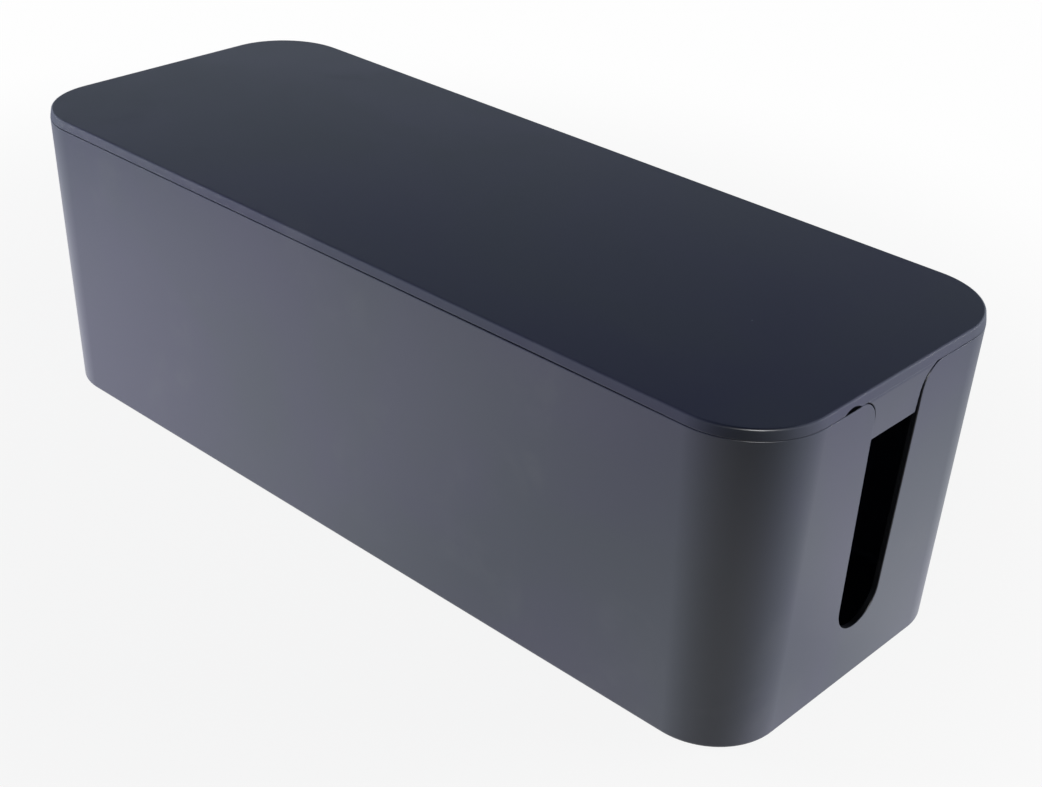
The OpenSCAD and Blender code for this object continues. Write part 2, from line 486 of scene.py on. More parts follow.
def to_piece(name, bm, painted_shade=()):
    """Turns a closed bmesh into a smooth-shaded object. Vertices inside a rounded edge get 1
    in the edge layer, for the wear and a painted highlight, and the vertices whose indices are
    in the given set get 1 in the layer of painted shade, where the plastic is painted much darker.
    All others get 0."""
    bm.verts.index_update()
    bmesh.ops.recalc_face_normals(bm, faces=bm.faces)
    for edge in bm.edges:
        edge.smooth = edge.calc_face_angle(0) < CRISP_ANGLE
    for face in bm.faces:
        face.smooth = True
    slim = {face for face in bm.faces if face_width(face) < NARROW_FACE}
    rounded = {vert.index for vert in bm.verts if all(face in slim for face in vert.link_faces)}
    for layer_name, marked in ((EDGE_WEAR_HIGHLIGHT_LAYER, rounded), (PAINTED_SHADE_LAYER, painted_shade)):
        layer = bm.verts.layers.float.new(layer_name)
        for vert in bm.verts:
            vert[layer] = float(vert.index in marked)
    piece = to_object(name, bm)
    normals = piece.modifiers.new("even_normals", "WEIGHTED_NORMAL")
    normals.keep_sharp = True
    normals.weight = 100  # by face area alone
    return piece


def to_solid(bm):
    """A closed bmesh as a plain object, for joining."""
    bmesh.ops.recalc_face_normals(bm, faces=bm.faces)
    return to_object("solid", bm)


def prism(outline, axis, low, high):
    """Solid between low and high along X or Y, with an outline given across it as
    (y, z) for X and (x, z) for Y."""
    bm = bmesh.new()
    rings = []
    for level in (low, high):
        points = [(level, a, z) if axis == "X" else (a, level, z) for a, z in outline]
        rings.append(add_ring(bm, points))
    closed_loft(bm, rings)
    return to_solid(bm)


def combine(body, others, operation):
    """Joins or cuts body with the others, which are removed."""
    for other in others:
        modifier = body.modifiers.new("combine", "BOOLEAN")
        modifier.object = other
        modifier.operation = operation
        modifier.solver = "EXACT"
    graph = bpy.context.evaluated_depsgraph_get()
    mesh = bpy.data.meshes.new_from_object(body.evaluated_get(graph))
    body.modifiers.clear()
    body.data = mesh
    for other in others:
        bpy.data.objects.remove(other)


# ---------------------------------------------------------------------------
# Tub
# ---------------------------------------------------------------------------


def edge_spots(form):
    """Spots along the whole edge of the wall. Also returns, for the wall after each corner,
    the places in that list of the corner's last spot and of the next corner's first one."""
    spots, walls = [], []
    for quarter in range(4):
        spots += corner_spots(form, quarter, form.rim_z)
        last = len(spots) - 1
        if quarter in SLOTTED:
            spots += slot_spots(form, SLOTTED[quarter])
        walls.append((last, len(spots) if quarter < 3 else 0))
    return spots, walls


def painted_shade_places(form, spots, walls):
    """Places in the edge's list that get painted shade: inside the slots, and on the rim under
    the lifting notches, but for the notches' outer ends."""
    places = [i for i, spot in enumerate(spots) if form.rim_z - spot.z > form.tub.flare_r / 2]
    for quarter in SLOTTED:
        outer_end = walls[quarter][0] + 1
        places += range(outer_end + 1, outer_end + len(NOTCH_SHARES))
    return places


def wall_faces(bm, low, top, walls):
    """Wall between a lower ring, which has only the corners' points, and an edge ring, which
    has the slots' points as well. Each side is a single flat face."""
    for quarter, (last, following) in enumerate(walls):
        first_low = quarter * (CORNER_STEPS + 1)
        first_top = walls[quarter - 1][1]
        for step in range(CORNER_STEPS):
            a, b = first_low + step, first_top + step
            bm.faces.new((low[a], low[a + 1], top[b + 1], top[b]))
        last_low = first_low + CORNER_STEPS
        next_low = (last_low + 1) % len(low)
        span = top[last : following + 1] if following else top[last:] + top[:1]
        bm.faces.new([low[last_low], low[next_low]] + list(reversed(span)))


def floor_round(bm, form, inset, floor_z, radius):
    """Round between a leaning wall face and a level floor. Returns its rings from the top."""
    draft = form.tub.draft
    mid_z = floor_z + radius
    mid_reach = form.wall_face(mid_z) - inset - radius / math.cos(draft)
    plan = [spot for quarter in range(4) for spot in corner_spots(form, quarter, form.rim_z)]
    rings = []
    for reach, z in arc((mid_reach, mid_z), radius, -draft, -math.pi / 2):
        rings.append(add_ring(bm, [ring_point(spot, reach, z) for spot in plan]))
    loft(bm, rings)
    return rings


def foot_nodes():
    """Names of the feet's nodes in the frame."""
    return sorted(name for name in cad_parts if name.startswith("foot_"))


def foot_place(node):
    """Middle of a foot's node on the plan, and its radius."""
    low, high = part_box(node)
    return (low + high) / 2, (high.x - low.x) / 2


def foot_recess(bm, form, node):
    """Recess for a foot in the underside. Returns the ring of its mouth."""
    middle, foot_r = foot_place(node)
    recess_r = foot_r + form.tub.recess_gap
    roof_z = form.sole_z + form.tub.recess_depth
    mouth = reversed(quarter_round(RECESS_ROUND))
    section = [(recess_r + inset, form.sole_z + depth) for depth, inset in mouth]
    section.append((recess_r, roof_z))
    rings = revolve(bm, middle, section)
    loft(bm, rings)
    bm.faces.new(rings[-1])
    return rings[0]


def build_tub(form):
    """The tub, with rounded edges along the rim and the slots, and recesses for the feet."""
    tub = form.tub
    bm = bmesh.new()
    spots, walls = edge_spots(form)
    over = quarter_round(tub.edge_r)
    profile = over + [(inset, tub.wall - depth) for inset, depth in reversed(over)]
    rings = [
        add_ring(bm, [edge_point(form, spot, inset, depth) for spot in spots])
        for inset, depth in profile
    ]
    loft(bm, rings)
    outside = floor_round(bm, form, 0, form.sole_z, tub.sole_r)
    inside = floor_round(bm, form, tub.wall, form.sole_z + tub.floor_t, tub.cove_r)
    wall_faces(bm, outside[0], rings[0], walls)
    wall_faces(bm, inside[0], rings[-1], walls)
    bm.faces.new(inside[-1])
    recesses = [foot_recess(bm, form, node) for node in foot_nodes()]
    fill_between(bm, [outside[-1]] + recesses)

    # Painted shade: the faces through the wall in the slots, and the rim under the notches, are
    # marked to be painted much darker, as if in shadow
    places = painted_shade_places(form, spots, walls)
    through_wall = rings[ROUND_STEPS // 2 : -ROUND_STEPS // 2]
    bm.verts.index_update()
    painted_shade = {ring[i].index for ring in through_wall for i in places}
    return to_piece("tub_moulding", bm, painted_shade)


# ---------------------------------------------------------------------------
# Lid
# ---------------------------------------------------------------------------


def lid_plan(form):
    """Spots round the lid, with extra ones along the long sides, where its edge may bow."""
    spots = []
    for quarter in range(4):
        corner = corner_spots(form, quarter, form.rim_z)
        spots += corner
        if quarter not in SLOTTED:
            start = corner[-1].base
            span = Vector((-2 * start.x, 0.0))
            for step in range(1, SIDE_STEPS):
                spots.append(corner[-1]._replace(base=start + span * (step / SIDE_STEPS)))
    return spots


def seam_gap(form, spot):
    """Open height of the seam at a spot. The lid bears on the rim at the front right and the
    rear left corner, where the seam is closed, and it bows up along the long sides."""
    lid = form.lid
    corner_r = form.tub.corner_r
    along = -math.copysign(spot.base.x, spot.base.x * spot.base.y) / form.corner_x
    rise = math.exp(-(((along - BOW_PLACE) / BOW_SPREAD) ** 2))
    bow = abs(spot.out.y) * (BOW_EVEN + (1 - BOW_EVEN) * rise)
    corner = Vector((form.corner_x, -form.corner_y)) + corner_r * Vector((1, -1)).normalized()
    place = spot.base + spot.out * corner_r
    away = min((place - corner).length, (place + corner).length)
    closed = math.exp(-((away / lid.bearing) ** 2))
    return (lid.seam + lid.bow * bow) * (1 - closed) + CLOSED_SEAM * closed


def lid_section(form):
    """Section of the lid as reach, height and share of the seam's gap, from its top over the
    edge and down, then round the lip to the underside of the plate."""
    lid = form.lid
    low_face = form.tub.corner_r - lid.step
    lean = math.atan2(lid.lean, form.lid_z - form.rim_z - lid.bevel - lid.edge_r)
    round_z = form.lid_z - lid.edge_r
    face_at = low_face - (round_z - form.rim_z - lid.bevel) * math.tan(lean)
    top_mid = (face_at - lid.edge_r / math.cos(lean), round_z)
    low_mid = (low_face - lid.bevel, form.rim_z + lid.bevel)
    seat = (low_face - lid.seam_depth, form.rim_z)
    top = arc(top_mid, lid.edge_r, math.pi / 2, lean)
    raised = arc(low_mid, lid.bevel, lean, -math.pi / 2) + [seat]

    plate_z = form.lid_z - lid.plate
    lip_z = form.rim_z - lid.lip_depth
    lead_z = lip_z + lid.lip_lead
    inside = form.lip_face(lip_z) - lid.lip_t
    lip = [
        (form.lip_face(form.rim_z), form.rim_z),
        (form.lip_face(lead_z), lead_z),
        (form.lip_face(lip_z) - lid.lip_lead, lip_z),
        (inside + LIP_EDGE, lip_z),
        (inside, lip_z + LIP_EDGE),
    ]
    root_mid = (form.lip_face(plate_z) - lid.lip_t - LIP_ROOT_R, plate_z - LIP_ROOT_R)
    lip += arc(root_mid, LIP_ROOT_R, 0.0, math.pi / 2, steps=LIP_ROOT_STEPS)
    stretches = ((top, 0.0), (raised, 1.0), ([seat] + lip, 0.0))
    return [(reach, z, share) for points, share in stretches for reach, z in points]


def lid_shell(form):
    """Plate, outer edge and lip of the lid."""
    spots = lid_plan(form)
    bm = bmesh.new()
    rings = []
    for reach, z, share in lid_section(form):
        points = [ring_point(spot, reach, z + share * seam_gap(form, spot)) for spot in spots]
        rings.append(add_ring(bm, points))
    closed_loft(bm, rings)
    return to_solid(bm)


class TabRow(NamedTuple):
    """One level of a tab's outline: half its width, its height above the rim, and the way
    its edge faces"""

    half: float
    drop: float
    across: float
    up: float


def tab_rows(form):
    """Levels of a tab's outline, from inside the lid's edge down to its lower edge."""
    lid = form.lid
    rows = [TabRow(form.flare_y, TAB_TOP, 1.0, 0.0)]
    flare_r = form.tub.flare_r + lid.tab_gap
    lean = form.tub.slot_lean
    shoulder = math.asin((form.tub.flare_r - form.tub.edge_r) / flare_r)
    above = turns(math.pi / 2, shoulder, ROUND_STEPS)[:-1]
    for turn in above + turns(shoulder, lean, FLARE_STEPS):
        half = form.flare_y - flare_r * math.cos(turn)
        drop = flare_r * math.sin(turn) - form.tub.flare_r
        rows.append(TabRow(half, drop, math.cos(turn), -math.sin(turn)))
    corner_r = lid.tab_corner_r
    mid_drop = form.tab_drop + corner_r
    mid_half = form.slot_side(mid_drop, lid.tab_gap) - corner_r / math.cos(lean)
    for turn in turns(-lean, -math.pi / 2, ROUND_STEPS):
        across, up = math.cos(turn), math.sin(turn)
        rows.append(TabRow(mid_half + corner_r * across, mid_drop + corner_r * up, across, up))
    return rows


def tab_face(form, drop):
    """Outside of a tab: flush with the wall at the rim, tucked in towards its lower edge, and
    drawn in above the rim to run into the lid's edge."""
    shoulder = -form.tub.edge_r
    top = form.wall_face(form.rim_z + shoulder)
    if drop <= shoulder:
        low = form.wall_face(form.rim_z + form.tab_drop) - form.lid.tab_tuck
        share = (drop - form.tab_drop) / (shoulder - form.tab_drop)
        return low + (top - low) * share
    return top - TAB_DRAW_IN * (drop - shoulder)


def tab_solid(form, side):
    """One end tab, as a plate with rounded outer edges."""
    rows = tab_rows(form)
    wall = form.tub.wall
    over = quarter_round(form.lid.tab_edge_r, steps=TAB_EDGE_STEPS)
    back = [(0.0, wall - TAB_BACK_BEVEL), (TAB_BACK_BEVEL, wall)]

    def place(row, mirror, inset, depth):
        half = row.half - row.across * inset - mirror * form.lid.tab_play
        drop = row.drop - row.up * inset
        reach = form.corner_x + tab_face(form, drop) - depth
        return Vector((side * reach, side * mirror * half, form.rim_z + drop))

    bm = bmesh.new()
    rings = []
    for inset, depth in over + back:
        left = [place(row, -1, inset, depth) for row in rows]
        right = [place(row, 1, inset, depth) for row in reversed(rows)]
        rings.append(add_ring(bm, left + right))
    loft(bm, rings)
    last = len(rings[0]) - 1
    for ring in (rings[0], rings[-1]):
        for i in range(len(rows) - 1):
            bm.faces.new((ring[i], ring[i + 1], ring[last - i - 1], ring[last - i]))
    return to_solid(bm)


def tab_web(form, side):
    """Block that joins a tab to the lip behind it."""
    lid = form.lid
    lip_z = form.rim_z - lid.lip_depth
    top_z = (form.rim_z + form.lid_z - lid.plate) / 2
    back = form.wall_face(lip_z) - form.tub.wall + WEB_BITE
    inner = form.lip_face(lip_z) - lid.lip_t / 2
    outline = [
        (back, lip_z - lid.lip_gap - WEB_BITE),
        (form.lip_face(lip_z), lip_z),
        (inner, lip_z + OFFSET),
        (inner, top_z),
        (back, top_z),
    ]
    half = form.slot_side(lip_z - form.rim_z, lid.tab_gap) - WEB_INSET
    outline = [(side * (form.corner_x + reach), z) for reach, z in outline]
    return prism(outline, "Y", -half, half)


def rib_solid(form, x):
    """Stiffening rib across the underside of the lid. Its root lies inside the plate."""
    lid = form.lid
    plate_z = form.lid_z - lid.plate
    tip_z = plate_z - lid.rib_depth
    half = form.corner_y + form.lip_face(plate_z) - lid.lip_t / 2
    tip, root = lid.rib_tip_t / 2, lid.rib_t / 2
    right = [
        (tip - RIB_EDGE, tip_z),
        (tip, tip_z + RIB_EDGE),
        (root, plate_z),
        (root, plate_z + lid.plate / 3),
    ]
    outline = right + [(-across, z) for across, z in reversed(right)]
    return prism([(x + across, z) for across, z in outline], "Y", -half, half)


def notch_cutter(form, side):
    """Shallow round cutter for the lifting notch beside a tab."""
    lid = form.lid
    radius = (lid.notch_w**2 / 4 + lid.notch_h**2) / (2 * lid.notch_h)
    middle = (-side * (form.flare_y + lid.notch_w / 2), form.rim_z + lid.notch_h - radius)
    last = NOTCH_STEPS - 1
    outline = arc(middle, radius, 0.0, math.tau * last / NOTCH_STEPS, steps=last)
    near = form.corner_x + form.lip_face(form.rim_z)
    return prism(outline, "X", *sorted((side * near, side * (near + NOTCH_REACH))))


def build_lid(form):
    """The lid: shell, end tabs and ribs joined, with a lifting notch at each end."""
    body = lid_shell(form)
    rib_pitch = 2 * form.corner_x / (form.lid.rib_count + 1)
    parts = []
    for side in (-1, 1):
        parts += [tab_solid(form, side), tab_web(form, side)]
    for i in range(form.lid.rib_count):
        parts.append(rib_solid(form, (i + 1) * rib_pitch - form.corner_x))
    combine(body, parts, "UNION")
    combine(body, [notch_cutter(form, side) for side in (-1, 1)], "DIFFERENCE")
    bm = bmesh.new()
    bm.from_mesh(body.data)
    bpy.data.objects.remove(body)
    bmesh.ops.remove_doubles(bm, verts=bm.verts, dist=WELD)
    return to_piece("lid_moulding", bm)


# ---------------------------------------------------------------------------
# Feet
# ---------------------------------------------------------------------------


def build_foot(node, sizes):
    """A rubber foot: a disc with a soft lower edge and a shallow dish inside its ring."""
    low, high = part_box(node)
    middle, foot_r = foot_place(node)
    edge_r, dish = sizes.edge_r, sizes.dish
    ring_in = foot_r - sizes.ring_w
    run = DISH_RUN * dish
    section = [(foot_r - FOOT_BEVEL, high.z), (foot_r, high.z - FOOT_BEVEL)]
    section += arc((foot_r - edge_r, low.z + edge_r), edge_r, 0.0, -math.pi / 2)
    section += [
        (ring_in, low.z),
        (ring_in - run, low.z + DISH_KNEE * dish),
        (ring_in - 2 * run, low.z + dish),
    ]
    bm = bmesh.new()
    closed_loft(bm, revolve(bm, middle, section))
    return to_piece(node.replace("foot_", "rubber_foot_"), bm)


# ---------------------------------------------------------------------------
# Shader groups
# ---------------------------------------------------------------------------

# Cycles a metre of the noises inside the groups
PATCH_SCALE = 16.0
STREAK_SCALE = 70.0
WEAR_SCALE = 45.0

# Stretches of a noise, or of the upward facing, over which a mask runs from 0 to 1
TONE_STRETCH = (0.3, 0.7)
PATCH_STRETCH = (0.56, 0.72)
STREAK_STRETCH = (0.35, 0.7)
WEAR_STRETCH = (0.25, 0.75)
LYING_STRETCH = (0.8, 0.95)

# Radius of the smallest and the largest speck of dust, as shares of a cell
SPECK_SIZES = (0.008, 0.022)

# Sockets of a mix node that mixes colours
MIX_SHARE, MIX_A, MIX_B, MIX_RESULT = 0, 6, 7, 2


def add_node(tree, kind, inputs=None, **settings):
    """New shader node. Inputs maps sockets to values or to sockets to link from."""
    made = tree.nodes.new(kind)
    for key, value in settings.items():
        setattr(made, key, value)
    for key, value in (inputs or {}).items():
        if isinstance(value, bpy.types.NodeSocket):
            tree.links.new(value, made.inputs[key])
        else:
            made.inputs[key].default_value = value
    return made


def place_coordinates(tree):
    """Coordinates in the piece's own metres."""
    return add_node(tree, "ShaderNodeTexCoord").outputs["Object"]


def attribute(tree, name):
    """Value of a vertex layer."""
    return add_node(tree, "ShaderNodeAttribute", attribute_name=name).outputs["Fac"]


def ramp(tree, value, low, high):
    """Value taken smoothly from 0 at low to 1 at high."""
    inputs = {"Value": value, "From Min": low, "From Max": high}
    made = add_node(tree, "ShaderNodeMapRange", inputs, interpolation_type="SMOOTHSTEP")
    return made.outputs["Result"]


def remap(tree, value, low, high):
    """Value from 0 to 1 taken to a range."""
    inputs = {"Value": value, "To Min": low, "To Max": high}
    return add_node(tree, "ShaderNodeMapRange", inputs).outputs["Result"]


def noise(tree, where, scale, detail=2.0, roughness=0.5, distortion=0.0):
    """Noise value from 0 to 1 at a scale in cycles a metre."""
    inputs = {
        "Vector": where,
        "Scale": scale,
        "Detail": detail,
        "Roughness": roughness,
        "Distortion": distortion,
    }
    return add_node(tree, "ShaderNodeTexNoise", inputs).outputs["Fac"]


def maths(tree, operation, *values):
    """Result of an operation on values or sockets."""
    made = add_node(tree, "ShaderNodeMath", dict(enumerate(values)), operation=operation)
    return made.outputs[0]


def multiply(tree, a, b):
    """Product of two values."""
    return maths(tree, "MULTIPLY", a, b)


def mix_colour(tree, share, a, b):
    """Colour between a and b, which are sockets or colours."""
    inputs = {MIX_SHARE: share}
    for key, value in ((MIX_A, a), (MIX_B, b)):
        inputs[key] = value if isinstance(value, bpy.types.NodeSocket) else (*value, 1.0)
    return add_node(tree, "ShaderNodeMix", inputs, data_type="RGBA").outputs[MIX_RESULT]


def new_group(name, inputs, outputs):
    """Shader node group with float inputs and one or more float outputs. Returns it with the
    sockets of its inputs and of its outputs."""
    group = bpy.data.node_groups.new(name, "ShaderNodeTree")
    for label, default in inputs.items():
        socket = group.interface.new_socket(label, in_out="INPUT", socket_type="NodeSocketFloat")
        socket.default_value = default
    for label in outputs:
        group.interface.new_socket(label, in_out="OUTPUT", socket_type="NodeSocketFloat")
    given = add_node(group, "NodeGroupInput")
    result = add_node(group, "NodeGroupOutput")
    return group, given.outputs, result.inputs


def moulded_grain():
    """Height of the fine texture that a blasted mould leaves."""
    group, given, result = new_group("Moulded Grain", {"Scale": 2800.0}, ["Height"])
    where = place_coordinates(group)
    height = noise(group, where, given["Scale"], detail=1.5, roughness=0.6)
    group.links.new(height, result["Height"])


def handling_marks():
    """Tone is the broad unevenness of a moulded face, and Smudge marks where it was touched."""
    group, given, result = new_group("Handling Marks", {"Scale": 9.0}, ["Tone", "Smudge"])
    where = place_coordinates(group)
    tone = noise(group, where, given["Scale"], detail=3.0, roughness=0.55, distortion=0.6)
    group.links.new(ramp(group, tone, *TONE_STRETCH), result["Tone"])
    patches = noise(group, where, PATCH_SCALE, detail=2.0, distortion=1.2)
    streaks = noise(group, where, STREAK_SCALE, detail=3.0, roughness=0.6)
    patch = ramp(group, patches, *PATCH_STRETCH)
    streak = ramp(group, streaks, *STREAK_STRETCH)
    group.links.new(multiply(group, patch, streak), result["Smudge"])


def edge_wear_and_highlight():
    """Mask of rubbed edges, broken up along their length. On the plastic it also paints a faint
    highlight along the rounded edges.
    """
    group, given, result = new_group("Edge Wear And Highlight", {"Amount": 1.0}, ["Mask"])
    breaks = noise(group, place_coordinates(group), WEAR_SCALE, detail=3.0)
    broken = multiply(group, attribute(group, EDGE_WEAR_HIGHLIGHT_LAYER), ramp(group, breaks, *WEAR_STRETCH))
    group.links.new(multiply(group, broken, given["Amount"]), result["Mask"])


def dust_specks():
    """Mask of single specks that lie on faces that look up."""
    group, given, result = new_group("Dust Specks", {"Scale": 55.0, "Share": 0.06}, ["Mask"])
    where = place_coordinates(group)
    cells = add_node(group, "ShaderNodeTexVoronoi", {"Vector": where, "Scale": given["Scale"]})
    pick = add_node(group, "ShaderNodeSeparateColor", {"Color": cells.outputs["Color"]})
    chosen = maths(group, "LESS_THAN", pick.outputs["Red"], given["Share"])
    size = remap(group, pick.outputs["Green"], *SPECK_SIZES)
    near = maths(group, "LESS_THAN", cells.outputs["Distance"], size)
    surface = add_node(group, "ShaderNodeNewGeometry")
    facing = add_node(group, "ShaderNodeSeparateXYZ", {"Vector": surface.outputs["Normal"]})
    lying = ramp(group, facing.outputs["Z"], *LYING_STRETCH)
    mask = multiply(group, multiply(group, chosen, near), lying)
    group.links.new(mask, result["Mask"])


def build_groups():
    """Makes the shared groups once."""
    if "Moulded Grain" not in bpy.data.node_groups:
        moulded_grain()
        handling_marks()
        edge_wear_and_highlight()
        dust_specks()


def use_group(tree, name, **inputs):
    """Places a group in a material with its own input values."""
    made = add_node(tree, "ShaderNodeGroup", node_tree=bpy.data.node_groups[name])
    for key, value in inputs.items():
        made.inputs[key.capitalize()].default_value = value
    return made.outputs


# ---------------------------------------------------------------------------
# Materials
# ---------------------------------------------------------------------------

# Tints that the plastic's tone drifts between, and the near-black tint of the painted shade in the
# slots and under the notches
PURPLISH = (1.0, 0.96, 1.06)
GREENISH = (0.98, 1.035, 0.96)
PAINTED_SHADE_TINT = (0.1, 0.1, 0.1)

# Cycles a metre of the plastic's tone, and how far the tone moves its roughness each way
PLASTIC_SCALE = 9.0
ROUGHNESS_DRIFT = 0.025

# What a smudge adds: share of the worn colour, and roughness
SMUDGE_PALENESS = 0.25
SMUDGE_ROUGHNESS = 0.08

# Rubber: cycles a metre of its tone and its grain, depth of the grain, tints and roughness
RUBBER_SCALE = 120.0
RUBBER_GRAIN = 4500.0
RUBBER_DEPTH = 0.01 * MM
RUBBER_PALE = (1.8, 1.8, 1.7)
RUBBER_WORN = (4.0, 4.0, 3.8)
RUBBER_ROUGHNESS = (0.72, 0.88)

# The same for the adhesive foam
FOAM_SCALE = 200.0
FOAM_GRAIN = 3500.0
FOAM_DEPTH = 0.03 * MM
FOAM_SOILED = (0.8, 0.78, 0.7)
FOAM_ROUGHNESS = (0.7, 0.95)


def new_material(name):
    """Empty node material. Returns it with its tree and its Principled shader."""
    material = bpy.data.materials.new(name)
    material.use_nodes = True
    tree = material.node_tree
    return material, tree, tree.nodes["Principled BSDF"]


def tinted(base, tint):
    """Colour with each channel scaled."""
    return tuple(channel * scale for channel, scale in zip(base, tint))


def add_relief(tree, shader, height, depth):
    """Bumps on a shader, as deep as given."""
    inputs = {"Height": height, "Distance": depth, "Strength": 1.0}
    bump = add_node(tree, "ShaderNodeBump", inputs)
    tree.links.new(bump.outputs["Normal"], shader.inputs["Normal"])


def moulded_plastic(name, finish, wear, specks):
    """Satin injection-moulded plastic with fine grain, uneven tone, touch marks and dust, rubbed
    edges that also give a painted highlight, and painted shade where the mesh marks it.
    """
    material, tree, shader = new_material(name)
    marks = use_group(tree, "Handling Marks", scale=PLASTIC_SCALE)
    edges = use_group(tree, "Edge Wear And Highlight", amount=wear)
    dust = use_group(tree, "Dust Specks", share=specks)
    grain = use_group(tree, "Moulded Grain", scale=1 / finish.grain)

    tone = finish.plastic
    body = mix_colour(tree, marks["Tone"], tinted(tone, PURPLISH), tinted(tone, GREENISH))
    smudge = multiply(tree, marks["Smudge"], SMUDGE_PALENESS)
    touched = mix_colour(tree, smudge, body, finish.worn)
    # Rubbed edges: paler colour that is partly wear and partly a painted highlight along the rounded
    # edges
    rubbed = mix_colour(tree, edges["Mask"], touched, finish.worn)
    dusted = mix_colour(tree, dust["Mask"], rubbed, finish.dust)
    # Painted shade: marked places are painted near black, standing in for shadow
    with_painted_shade = mix_colour(tree, attribute(tree, PAINTED_SHADE_LAYER), dusted, tinted(tone, PAINTED_SHADE_TINT))
    tree.links.new(with_painted_shade, shader.inputs["Base Color"])

    middle = finish.roughness
    uneven = remap(tree, marks["Tone"], middle - ROUGHNESS_DRIFT, middle + ROUGHNESS_DRIFT)
    smudged = maths(tree, "MULTIPLY_ADD", marks["Smudge"], SMUDGE_ROUGHNESS, uneven)
    tree.links.new(smudged, shader.inputs["Roughness"])
    add_relief(tree, shader, grain["Height"], finish.grain_depth)
    shader.inputs["IOR"].default_value = 1.5
    return material


def foot_rubber(finish):
    """Matt black rubber with a fine grain and paler, dusty rims."""
    material, tree, shader = new_material("foot_rubber")
    marks = use_group(tree, "Handling Marks", scale=RUBBER_SCALE)
    edges = use_group(tree, "Edge Wear And Highlight", amount=finish.foot_wear)
    grain = use_group(tree, "Moulded Grain", scale=RUBBER_GRAIN)
    body = mix_colour(tree, marks["Tone"], finish.rubber, tinted(finish.rubber, RUBBER_PALE))
    worn = mix_colour(tree, edges["Mask"], body, tinted(finish.rubber, RUBBER_WORN))
    tree.links.new(worn, shader.inputs["Base Color"])
    tree.links.new(remap(tree, marks["Tone"], *RUBBER_ROUGHNESS), shader.inputs["Roughness"])
    add_relief(tree, shader, grain["Height"], RUBBER_DEPTH)
    return material


def adhesive_foam(finish):
    """Pale open-celled foam of the adhesive discs."""
    material, tree, shader = new_material("adhesive_foam")
    marks = use_group(tree, "Handling Marks", scale=FOAM_SCALE)
    grain = use_group(tree, "Moulded Grain", scale=FOAM_GRAIN)
    soiled = tinted(finish.adhesive, FOAM_SOILED)
    body = mix_colour(tree, marks["Tone"], finish.adhesive, soiled)
    tree.links.new(body, shader.inputs["Base Color"])
    tree.links.new(remap(tree, grain["Height"], *FOAM_ROUGHNESS), shader.inputs["Roughness"])
    add_relief(tree, shader, grain["Height"], FOAM_DEPTH)
    return material


def dress(piece, material, body, node):
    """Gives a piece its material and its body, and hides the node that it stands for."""
    piece.data.materials.append(material)
    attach(piece, body)
    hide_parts(node)


# ---------------------------------------------------------------------------
# Studio
# ---------------------------------------------------------------------------


class Stand(NamedTuple):
    """Where a lamp stands, and its size"""

    azimuth: float  # degrees round the point it is aimed at, from +X
    elevation: float  # degrees above level
    distance: float
    size: tuple


class FloorSpot(NamedTuple):
    """A round spot of floor that the box mirrors darker or brighter than the floor round it"""

    place: tuple
    inner: float  # radius up to which it is even
    outer: float  # radius at which it ends
    light: float


LEFT_STAND = Stand(-143, 6, 0.8, (0.5, 0.36))
RIGHT_STAND = Stand(46, 2.5, 1.3, (0.7, 0.4))
TOP_STAND = Stand(-48, 85, 1.5, (0.4, 0.4))
FRONT_STAND = Stand(-31, 28, 0.9, (0.2, 0.08))

# Spots in the box's shade, with the share of light that they keep, and the spot that glows
# in front of the right end, with the light that it adds
SHADES = (
    FloorSpot((0.24, -0.03, 0.0), 0.02, 0.095, 0.3),
    FloorSpot((0.09, -0.13, 0.0), 0.03, 0.15, 0.75),
)
GLOW = FloorSpot((0.25, -0.17, 0.0), 0.04, 0.21, 0.55)

# The pool fades out at this many of its radii, into floor with a darker tint
POOL_FADE = 2.5
OUTER_TINT = (0.12, 0.12, 0.12)

# In the pool and outside it: the floor's light in mirror images, and its tone to the camera
MIRRORED_LIGHT = (0.9, 0.06)
CAMERA_TONE = (0.89, 0.99)

# Paper: reach of its flat floor, radius of the bend, height of the backdrop
PAPER_REACH = 5.0
PAPER_BEND = 0.6
PAPER_HEIGHT = 1.9

# Backdrop in mirror images: where it starts to show, its light and its tint
BACKDROP_FROM = 3.5
BACKDROP_LIGHT = 0.84
BACKDROP_TINT = (0.84, 0.93, 1.0)
WHITE = (1.0, 1.0, 1.0)

CAMERA_PLACE = Vector((454.8, -472.5, 410.1)) * MM


def distance(tree, here, place):
    """Distance from a place."""
    made = add_node(tree, "ShaderNodeVectorMath", {0: here, 1: place}, operation="DISTANCE")
    return made.outputs["Value"]


def spot_light(tree, here, spot, outside):
    """Light of a floor spot, which runs to the value outside at its rim."""
    share = ramp(tree, distance(tree, here, spot.place), spot.inner, spot.outer)
    return remap(tree, share, spot.light, outside)


